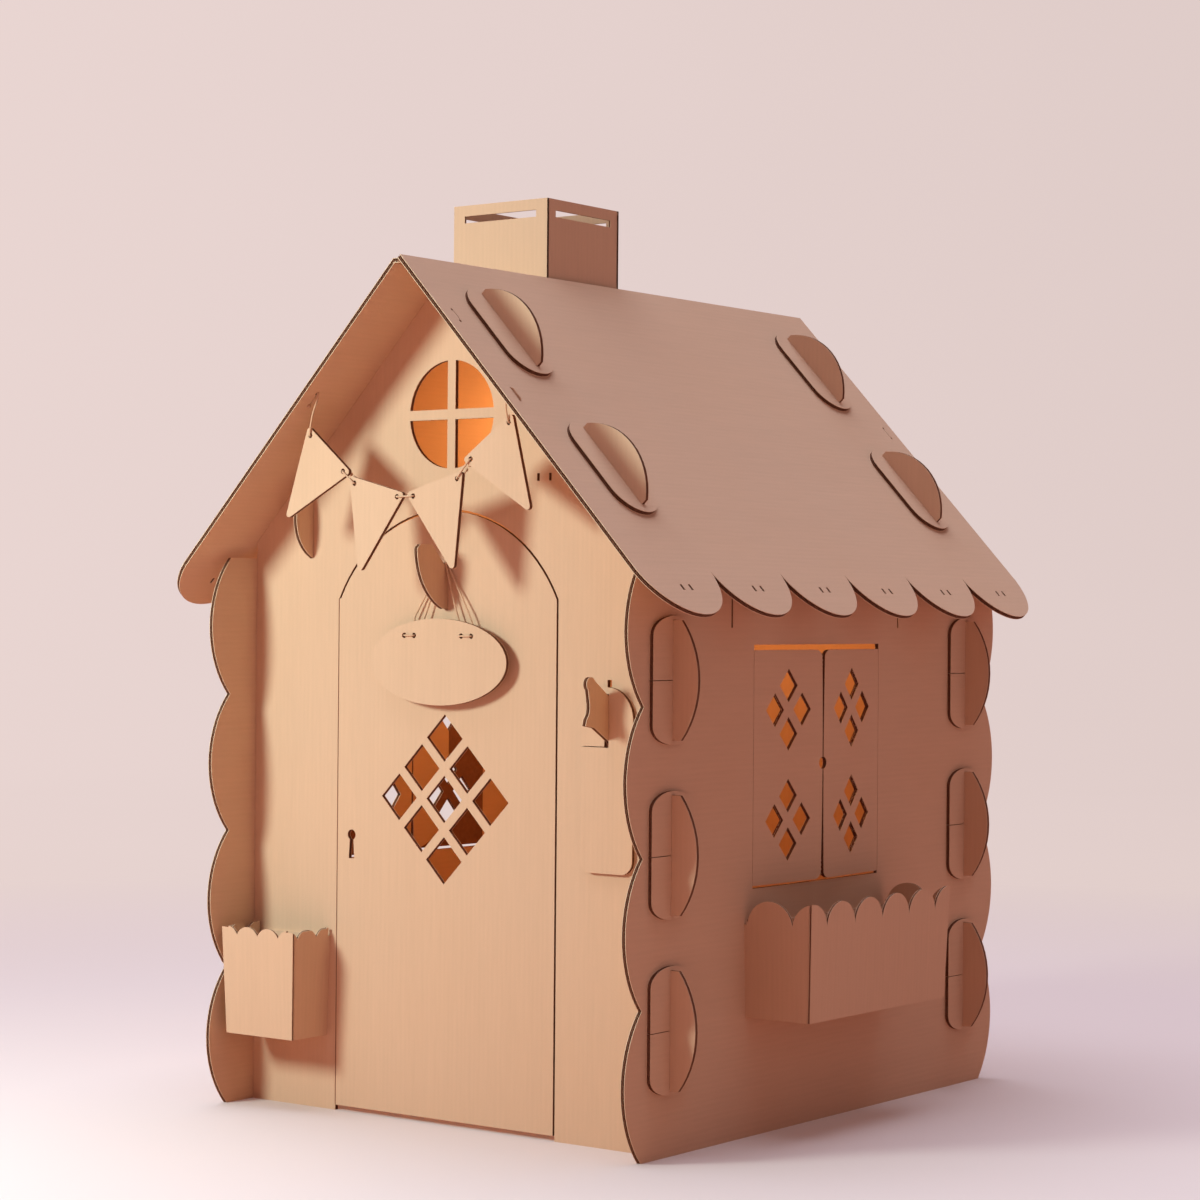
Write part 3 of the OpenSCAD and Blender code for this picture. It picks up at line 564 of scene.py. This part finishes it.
class MakeWalls(bpy.types.Operator):
    """Gables and side walls, with the shutters that stand ajar."""
    bl_idname = "playhouse.walls"
    bl_label = "Walls"

    # where the shutters' fold lines lie on the side walls' outer faces
    wall_x, shift_x = 400 * MM, -13.4954 * MM
    fold_y = (-201.5 * MM, 149.5 * MM)
    fold_z, fold_h = 539 * MM, 346 * MM
    # size of each score line through the face and along the wall; its floor takes the dark
    # fluted-paper colour, partly painted shade
    score = (4.4 * MM, 1.1 * MM)

    def execute(self, context):
        b = board()
        fold_board("front_wall", [(Y, Z)], b.heavy)
        fold_board("back_wall", [(Y, Z)], b.heavy)
        ajar = math.radians(3.3)
        for node, side in (("left_wall", -1), ("right_wall", 1)):
            out = X * side
            shutters = [Vector((side * math.cos(ajar), -math.sin(ajar), 0)),
                        Vector((side * math.cos(ajar), math.sin(ajar), 0))]
            face_x = side * self.wall_x + self.shift_x
            scores = [((face_x, y, self.fold_z), (*self.score, self.fold_h))
                      for y in self.fold_y]
            fold_board(node, [(out, Y)] + [(n, Y) for n in shutters], b.heavy, grooves=scores)
        return {"FINISHED"}


class MakeRoof(bpy.types.Operator):
    """Both roof slopes, the left one with its folded ridge strip."""
    bl_idname = "playhouse.roof"
    bl_label = "Roof"

    def execute(self, context):
        fold_board("right_roof", [(slope(1), Y)], board().heavy)
        fold_board("left_roof", [(slope(-1), Y), (Z, Y)], board().heavy, keep=True)
        return {"FINISHED"}


class MakeDiscs(bpy.types.Operator):
    """Lock discs of the walls and the roof."""
    bl_idname = "playhouse.discs"
    bl_label = "Lock discs"

    def execute(self, context):
        for node in nodes_like("disc_"):
            fold_board(node, [(-X if "left" in node else X, Y)], board().heavy)
        for node in nodes_like("roof_disc_"):
            fold_board(node, [(slope(-1 if "left" in node else 1), Y)], board().heavy)
        return {"FINISHED"}


class MakeChimney(bpy.types.Operator):
    """Square chimney sleeve of light board."""
    bl_idname = "playhouse.chimney"
    bl_label = "Chimney"

    def execute(self, context):
        fold_board("chimney", [(-Y, Z), (Y, Z), (X, Z), (-X, Z)], board().light, keep=True)
        return {"FINISHED"}


class MakePlanters(bpy.types.Operator):
    """Two tapered planters of light board with scalloped rims."""
    bl_idname = "playhouse.planters"
    bl_label = "Planters"

    def execute(self, context):
        for node, front, end in (("door_planter", -Y, X), ("window_planter", X, Y)):
            solid = solid_of(node)
            sides = [(lean(solid, d), Z) for d in (front, -front, end, -end)]
            solid.free()
            fold_board(node, sides + [(-Z, end)], board().light, keep=True)
        return {"FINISHED"}


def lean(bm, direction):
    """Normal of the outermost large flat side that faces roughly in a direction."""
    faces = [f for f in bm.faces if f.normal.dot(direction) > 0.98]
    large = max(f.calc_area() for f in faces) * 0.2
    best = max((f for f in faces if f.calc_area() > large),
               key=lambda f: f.calc_center_median().dot(direction))
    return best.normal.copy()


class MakeHooks(bpy.types.Operator):
    """Hooks, the half-moon peg and the arched plate."""
    bl_idname = "playhouse.hooks"
    bl_label = "Hooks and plate"

    def execute(self, context):
        for node in ("door_hook", "barbed_hook", "half_moon_peg"):
            fold_board(node, [(X, Z)], board().heavy)
        fold_board("hook_plate", [(-Y, Z)], board().heavy)
        return {"FINISHED"}


class MakeHangings(bpy.types.Operator):
    """Bunting flags and the oval door sign."""
    bl_idname = "playhouse.hangings"
    bl_label = "Flags and sign"

    def execute(self, context):
        for node in nodes_like("flag_") + ["door_sign"]:
            fold_board(node, [(-Y, Z)], board().heavy)
        return {"FINISHED"}


def twisted(paths, diameter, turn):
    """Bmesh of twisted cord along each path of points, three strands to a cord."""
    strands = []
    for path in paths:
        points = smooth_path(path, 0.9 * MM)
        side = Vector((0.31, 0.27, 0.91))
        length = 0.0
        frames = []
        for i, p in enumerate(points):
            along = (points[min(i + 1, len(points) - 1)] - points[max(i - 1, 0)]).normalized()
            side = (side - along * side.dot(along)).normalized()
            frames.append((p, side.copy(), along.cross(side), length))
            if i + 1 < len(points):
                length += (points[i + 1] - p).length
        for strand in range(3):
            start = 2 * math.pi * strand / 3
            line = []
            for p, n, m, s in frames:
                a = start + 2 * math.pi * s / turn
                line.append(p + (n * math.cos(a) + m * math.sin(a)) * diameter * 0.24)
            strands.append(line)
    return tubes("strands", strands, diameter * 0.27)


def smooth_path(path, step):
    """Points every step along a Catmull-Rom curve through a path."""
    out = []
    ends = [path[0] * 2 - path[1]] + list(path) + [path[-1] * 2 - path[-2]]
    for a, b, c, d in zip(ends, ends[1:], ends[2:], ends[3:]):
        count = max(2, round((c - b).length / step))
        for k in range(count):
            t = k / count
            out.append(0.5 * (2 * b + (c - a) * t + (2 * a - 5 * b + 4 * c - d) * t * t
                              + (3 * b - a - 3 * c + d) * t ** 3))
    out.append(path[-1].copy())
    return out


def tubes(name, lines, radius):
    """Mesh of round tubes along lines of points, closed at their ends."""
    curve = bpy.data.curves.new(name, "CURVE")
    curve.dimensions = "3D"
    curve.bevel_depth = radius
    curve.bevel_resolution = 1
    curve.use_fill_caps = True
    for line in lines:
        spline = curve.splines.new("POLY")
        spline.points.add(len(line) - 1)
        for point, place in zip(spline.points, line):
            point.co = (*place, 1)
    route = bpy.data.objects.new(name, curve)
    bpy.context.scene.collection.objects.link(route)
    bpy.context.view_layer.update()
    bm = bmesh.new()
    bm.from_mesh(route.evaluated_get(bpy.context.evaluated_depsgraph_get()).to_mesh())
    bpy.data.objects.remove(route)
    bpy.data.curves.remove(curve)
    bmesh.ops.remove_doubles(bm, verts=bm.verts[:], dist=1e-7)
    bmesh.ops.recalc_face_normals(bm, faces=bm.faces[:])
    return bm


def knot_at(point, along, size):
    """Path of a small overhand knot: a loop and a half round a point."""
    side = (Z - along * Z.dot(along)).normalized()
    other = along.cross(side)
    out = []
    for k in range(13):
        a = 2 * math.pi * k / 8
        out.append(point + (side * math.cos(a) + other * math.sin(a)) * size
                   + along * size * (k / 6 - 1) * 0.8)
    return out


class MakeCords(bpy.types.Operator):
    """Twisted paper cord that holds the sign and ties the flags."""
    bl_idname = "playhouse.cords"
    bl_label = "Cords"

    # the sizes in millimetres that place the cords, measured from the front gable's face
    board_t, cord_d, flag_y = 7.0, 3.0, -92.0
    flags = ((-200, 1043, -40), (-117, 966, -14.5), (-7, 938, 16), (100, 984, 36))
    flag_w, hole_in, hole_down = 112.0, 13.0, 8.5
    slit_at, slit_l, slit_drop = 287.0, 24.0, 1.842
    slopes = {-1: (46.4, 1294.21), 1: (47.0, 1285.21)}

    def execute(self, context):
        self.origin = Vector((-13.4954, -418, 0))
        turn = 8 * MM
        for node, path in self.paths().items():
            points = [(self.origin + p) * MM for p in path]
            lines = [points]
            for end, inner in ((0, 1), (-1, -2)):
                along = (points[inner] - points[end]).normalized()
                place = points[end] + along * 2.5 * MM
                lines.append(knot_at(place, along, 1.5 * MM))
            obj = object_of(f"{node}_cord", twisted(lines, self.cord_d * MM, turn))
            for poly in obj.data.polygons:
                poly.use_smooth = True
            obj.data.materials.append(paper("cord"))
            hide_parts(node)
            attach(obj, "root")
        return {"FINISHED"}

    def on_flag(self, i, u):
        x, z, angle = self.flags[i]
        c, s = math.cos(math.radians(angle)), math.sin(math.radians(angle))
        v = self.hole_down
        return Vector((x + u * c + v * s, self.flag_y, z + u * s - v * c))

    def paths(self):
        """Routes of the cords, as the solids have them."""
        out = {"sign_cord": self.sign_path()}
        o = self.board_t / 2 + self.cord_d / 2 + 0.3
        f = Vector((0, -o, 0))
        for i in range(3):
            a = self.on_flag(i, self.flag_w - self.hole_in)
            b = self.on_flag(i + 1, self.hole_in)
            m = (a + b) / 2
            d = (b - a).normalized() * 2.2
            up = Vector((0, 1, 2.5))
            out[f"tie_{i + 2}"] = [m - d * 0.8 - f + up, a + d - f, a - f / 2, a + f / 2, a + d + f,
                                   m + f, b - d + f, b + f / 2, b - f / 2, b - d - f,
                                   m + d * 0.8 - f + up]
        for i, s, name in ((0, -1, "tie_1"), (3, 1, "tie_5")):
            a = self.on_flag(i, self.hole_in if s < 0 else self.flag_w - self.hole_in)
            d0 = self.slit_at - self.slit_l / 2
            d1 = self.slit_at + self.slit_l / 2
            up = self.board_t + 4
            q = [self.on_slope(s, d, h) for d, h in (
                (d0, -up), (d0, -self.board_t / 2), (d0 + 0.3, 0.6), (d0 + 2.4, 2.3),
                (self.slit_at, 2.3), (d1 - 2.4, 2.3), (d1 - 0.3, 0.6), (d1, -self.board_t / 2),
                (d1, -up))]
            out[name] = [a + Vector((0, o + 0.8, 9)), a - f + Z * 2, a - f / 2, a + f / 2,
                         a + f + Z * 2, (a + q[0]) / 2 + f * 1.1] + q
        return out

    def on_slope(self, s, d, h):
        pitch, apex = self.slopes[s]
        c, t = math.cos(math.radians(pitch)), math.sin(math.radians(pitch))
        return Vector((s * (d * c + h * t), self.flag_y - self.slit_drop, apex - d * t + h * c))

    def sign_path(self):
        """Doubled loop through both hole pairs of the sign and over its hook."""
        t, r = self.board_t, self.cord_d / 2
        y1, y0 = -12 + r + 0.3, -12 - t - r - 0.3
        h = 690 + 39
        a, b = -55 - 9.5, -55 + 9.5
        top = 835 + r + 0.5
        x = t / 2 + r + 0.4
        route = ((a + 8, y1 + 0.6, h + 12), (a + 1, y1, h + 3), (a - 0.5, y1 - 3, h),
                 (a, y0 + 3, h), (a + 3, y0, h), (b - 3, y0, h), (b, y0 + 3, h),
                 (b + 0.5, y1 - 3, h),
                 (b + 1, y1, h + 3), (b + 16, y1 + 0.5, h + 34), (-x - 1, -6, top - 8),
                 (-x + 0.2, -6, top - 1), (-2, -6, top), (2, -6, top), (x - 0.2, -6, top - 1),
                 (x + 1, -6, top - 8), (-b - 16, y1 + 0.5, h + 34), (-b - 1, y1, h + 3),
                 (-b - 0.5, y1 - 3, h), (-b, y0 + 3, h), (-b - 3, y0, h), (-a - 3, y0, h),
                 (-a, y0 + 3, h), (-a + 0.5, y1 - 3, h), (-a + 0.5, y1, h + 3),
                 (-a - 12, y1 - 0.2, h + 34), (x + 5, -3, top - 10), (x + 0.4, -2.2, top - 1),
                 (2, -2.2, top + 0.2), (-2, -2.2, top + 0.2), (-x - 0.4, -2.2, top - 1),
                 (-x - 5, -3, top - 10), (a + 14, y1 + 3.6, h + 34), (a + 9, y1 + 3.4, h + 20))
        return [Vector(p) - X * 8 for p in route]


class MakeStage(bpy.types.Operator):
    """Floor that bends up into the backdrop, lamps, room light and camera."""
    bl_idname = "playhouse.stage"
    bl_label = "Stage"

    # how far from the house the floor shows its shadow, and over what distance that fades
    near_reach, near_fade = 1.6, 2.2
    # what the key lamp points at, and where the warm light hangs
    aim, glow_place = Vector((0, 0, 0.65)), (0, 0.05, 0.98)

    def execute(self, context):
        s = stage()
        self.sweep(s)
        self.lamps(s)
        self.room(s)
        self.camera(s)
        return {"FINISHED"}

    def sweep(self, s):
        """Floor and wall in one piece, with a wide bend between them."""
        bm = bmesh.new()
        bmesh.ops.create_grid(bm, x_segments=1, y_segments=1, size=1)
        bmesh.ops.scale(bm, verts=bm.verts[:], vec=(14, 8, 1))
        back = [e for e in bm.edges if all(v.co.y > 7 for v in e.verts)]
        bmesh.ops.spin(bm, geom=back, cent=(0, 8, 4), axis=(1, 0, 0),
                       angle=math.radians(90), steps=24, use_duplicate=False)
        top = max(v.co.z for v in bm.verts)
        edge = [e for e in bm.edges if all(v.co.z > top - 1e-4 for v in e.verts)]
        lifted = bmesh.ops.extrude_edge_only(bm, edges=edge)["geom"]
        bmesh.ops.translate(bm, verts=[g for g in lifted if isinstance(g, bmesh.types.BMVert)],
                            vec=(0, 0, 8))
        bmesh.ops.recalc_face_normals(bm, faces=bm.faces[:])
        bmesh.ops.rotate(bm, verts=bm.verts[:], matrix=Matrix.Rotation(s.camera_yaw, 3, "Z"))
        obj = object_of("backdrop", bm)
        for poly in obj.data.polygons:
            poly.use_smooth = True
        obj.data.materials.append(self.backdrop_paint(s))

    def backdrop_paint(self, s):
        """Pale paper. The camera sees part of it as an even pale colour with painted light falloff,
        brighter towards the front left and more so near the house, and the house's shadow on it.
        """
        t = Tree("backdrop_paint")
        at = t.node("TexCoord", out=3)
        cloud = t.node("TexNoise", Vector=at, Scale=0.6, Detail=2.0)
        real = t.node("BsdfDiffuse", Color=tuple(s.backdrop))
        spread = t.node("VectorMath", {"operation": "LENGTH"}, out=1, i0=at)
        near = (1.0 - (spread - self.near_reach) / self.near_fade).clamp()
        side = t.node("VectorMath", {"operation": "DOT_PRODUCT"}, out=1, i0=at, i1=(-0.8, -0.6, 0))
        # painted light falloff: brighter towards the front left, more so near the house; the cloud
        # is the paper's own uneven tone
        painted_falloff_and_cloud = 0.97 + side * (near * 0.035 + 0.013) + (cloud - 0.5) * 0.02
        tone = t.node("CombineColor", Red=painted_falloff_and_cloud, Green=painted_falloff_and_cloud, Blue=painted_falloff_and_cloud)
        pale_with_painted_falloff = t.node("Emission", Color=t.mix(1.0, tuple(s.background), tone, "MULTIPLY"))
        shaded = t.node("BsdfDiffuse", Color=tuple(s.lit_floor))
        seen = t.node("MixShader", i0=near * s.shadow_depth, i1=pale_with_painted_falloff, i2=shaded)
        camera, glossy, transmission = (t.node("LightPath", out=i) for i in (0, 3, 6))
        direct = camera.math("MAXIMUM", glossy).math("MAXIMUM", transmission)
        t.node_out(t.node("MixShader", i0=direct, i1=real, i2=seen))
        return t.material

    def hang(self, name, data, place=(0, 0, 0), turn=None):
        obj = bpy.data.objects.new(name, data)
        obj.location = place
        if turn is not None:
            obj.rotation_euler = turn.to_euler()
        bpy.context.scene.collection.objects.link(obj)

    def sun(self, name, towards, strength, angle, colour):
        data = bpy.data.lights.new(name, "SUN")
        data.energy = strength
        data.angle = math.radians(angle)
        data.color = colour
        self.hang(name, data, turn=Vector(towards).to_track_quat("Z", "Y"))

    def lamps(self, s):
        key = bpy.data.lights.new("key", "AREA")
        key.shape = "DISK"
        key.size = 0.6
        key.energy = s.key_power
        key.color = s.key_colour
        place = Vector(s.key_place)
        self.hang("key", key, place, (self.aim - place).to_track_quat("-Z", "Y"))
        self.sun("top", (-0.2, 0.05, 1.0), s.top, 60, s.top_colour)
        self.sun("right", (1.0, -0.15, 0.35), s.right, 80, s.right_colour)
        glow = bpy.data.lights.new("glow", "POINT")
        glow.energy = s.glow_power
        glow.shadow_soft_size = 0.08
        glow.color = s.glow_colour
        self.hang("glow", glow, self.glow_place)

    def room(self, s):
        world = bpy.data.worlds.new("room")
        world.use_nodes = True
        back = world.node_tree.nodes["Background"]
        back.inputs["Color"].default_value = (*s.sky, 1)
        back.inputs["Strength"].default_value = s.sky_strength
        bpy.context.scene.world = world

    def camera(self, s):
        data = bpy.data.cameras.new("camera")
        data.sensor_fit = "HORIZONTAL"
        data.sensor_width = 36
        data.lens = s.lens
        data.clip_end = 60
        obj = bpy.data.objects.new("camera", data)
        obj.matrix_world = (Matrix.Translation(s.camera_place)
                            @ Matrix.Rotation(s.camera_yaw, 4, "Z")
                            @ Matrix.Rotation(math.radians(90) + s.camera_pitch, 4, "X")
                            @ Matrix.Rotation(s.camera_roll, 4, "Z"))
        bpy.context.scene.collection.objects.link(obj)
        bpy.context.scene.camera = obj
        bpy.context.scene.view_settings.view_transform = "Standard"


OPERATORS = (MakeStage, MakeCords, MakeWalls, MakeRoof, MakeDiscs, MakeChimney, MakePlanters,
             MakeHooks, MakeHangings)


class PlayhousePanel(bpy.types.Panel):
    """Lists the makers and their values in the sidebar."""
    bl_idname = "VIEW3D_PT_playhouse"
    bl_label = "Playhouse"
    bl_space_type = "VIEW_3D"
    bl_region_type = "UI"
    bl_category = "Playhouse"

    def draw(self, context):
        for operator in OPERATORS:
            self.layout.operator(operator.bl_idname)
        for group in (board(), colours(), stage()):
            box = self.layout.box()
            for name in group.__annotations__:
                box.prop(group, name)


def register():
    for cls in GROUPS + OPERATORS + (PlayhousePanel,):
        bpy.utils.register_class(cls)
    bpy.types.Scene.playhouse_board = bpy.props.PointerProperty(type=BoardSizes)
    bpy.types.Scene.playhouse_colours = bpy.props.PointerProperty(type=PaperColours)
    bpy.types.Scene.playhouse_stage = bpy.props.PointerProperty(type=StageValues)


def unregister():
    del bpy.types.Scene.playhouse_board
    del bpy.types.Scene.playhouse_colours
    del bpy.types.Scene.playhouse_stage
    for cls in reversed(GROUPS + OPERATORS + (PlayhousePanel,)):
        bpy.utils.unregister_class(cls)


def main():
    register()
    for operator in OPERATORS:
        group, name = operator.bl_idname.split(".")
        getattr(getattr(bpy.ops, group), name)()


if __name__ == "__main__":
    main()
